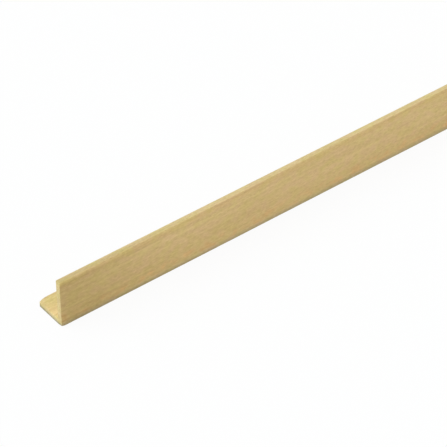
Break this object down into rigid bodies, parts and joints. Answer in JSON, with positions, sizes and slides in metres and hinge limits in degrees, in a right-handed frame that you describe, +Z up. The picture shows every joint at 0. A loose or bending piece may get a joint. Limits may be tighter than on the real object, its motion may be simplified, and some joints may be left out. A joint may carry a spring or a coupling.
{
  "type": "wooden edge trim",
  "caption": "Raw wooden L-section edge trim: a thin upright leg on a thin foot at a right angle, with lightly eased edges and ends sawn square, for covering a corner or a board's edge.",
  "frame": {"origin": "on the floor under the middle of the strip's box, half way along its length and half way across its foot", "axes": "+X along the length, away from the end with the rubbed corner; +Y across the foot, from the leg's outer face to the foot's free edge; +Z up along the leg"},
  "size_m": [2.4, 0.025, 0.035],
  "materials": {
    "raw_wood": "matte"
  },
  "bodies": {
    "root": {"edge_trim": "raw_wood"}
  },
  "joints": []
}
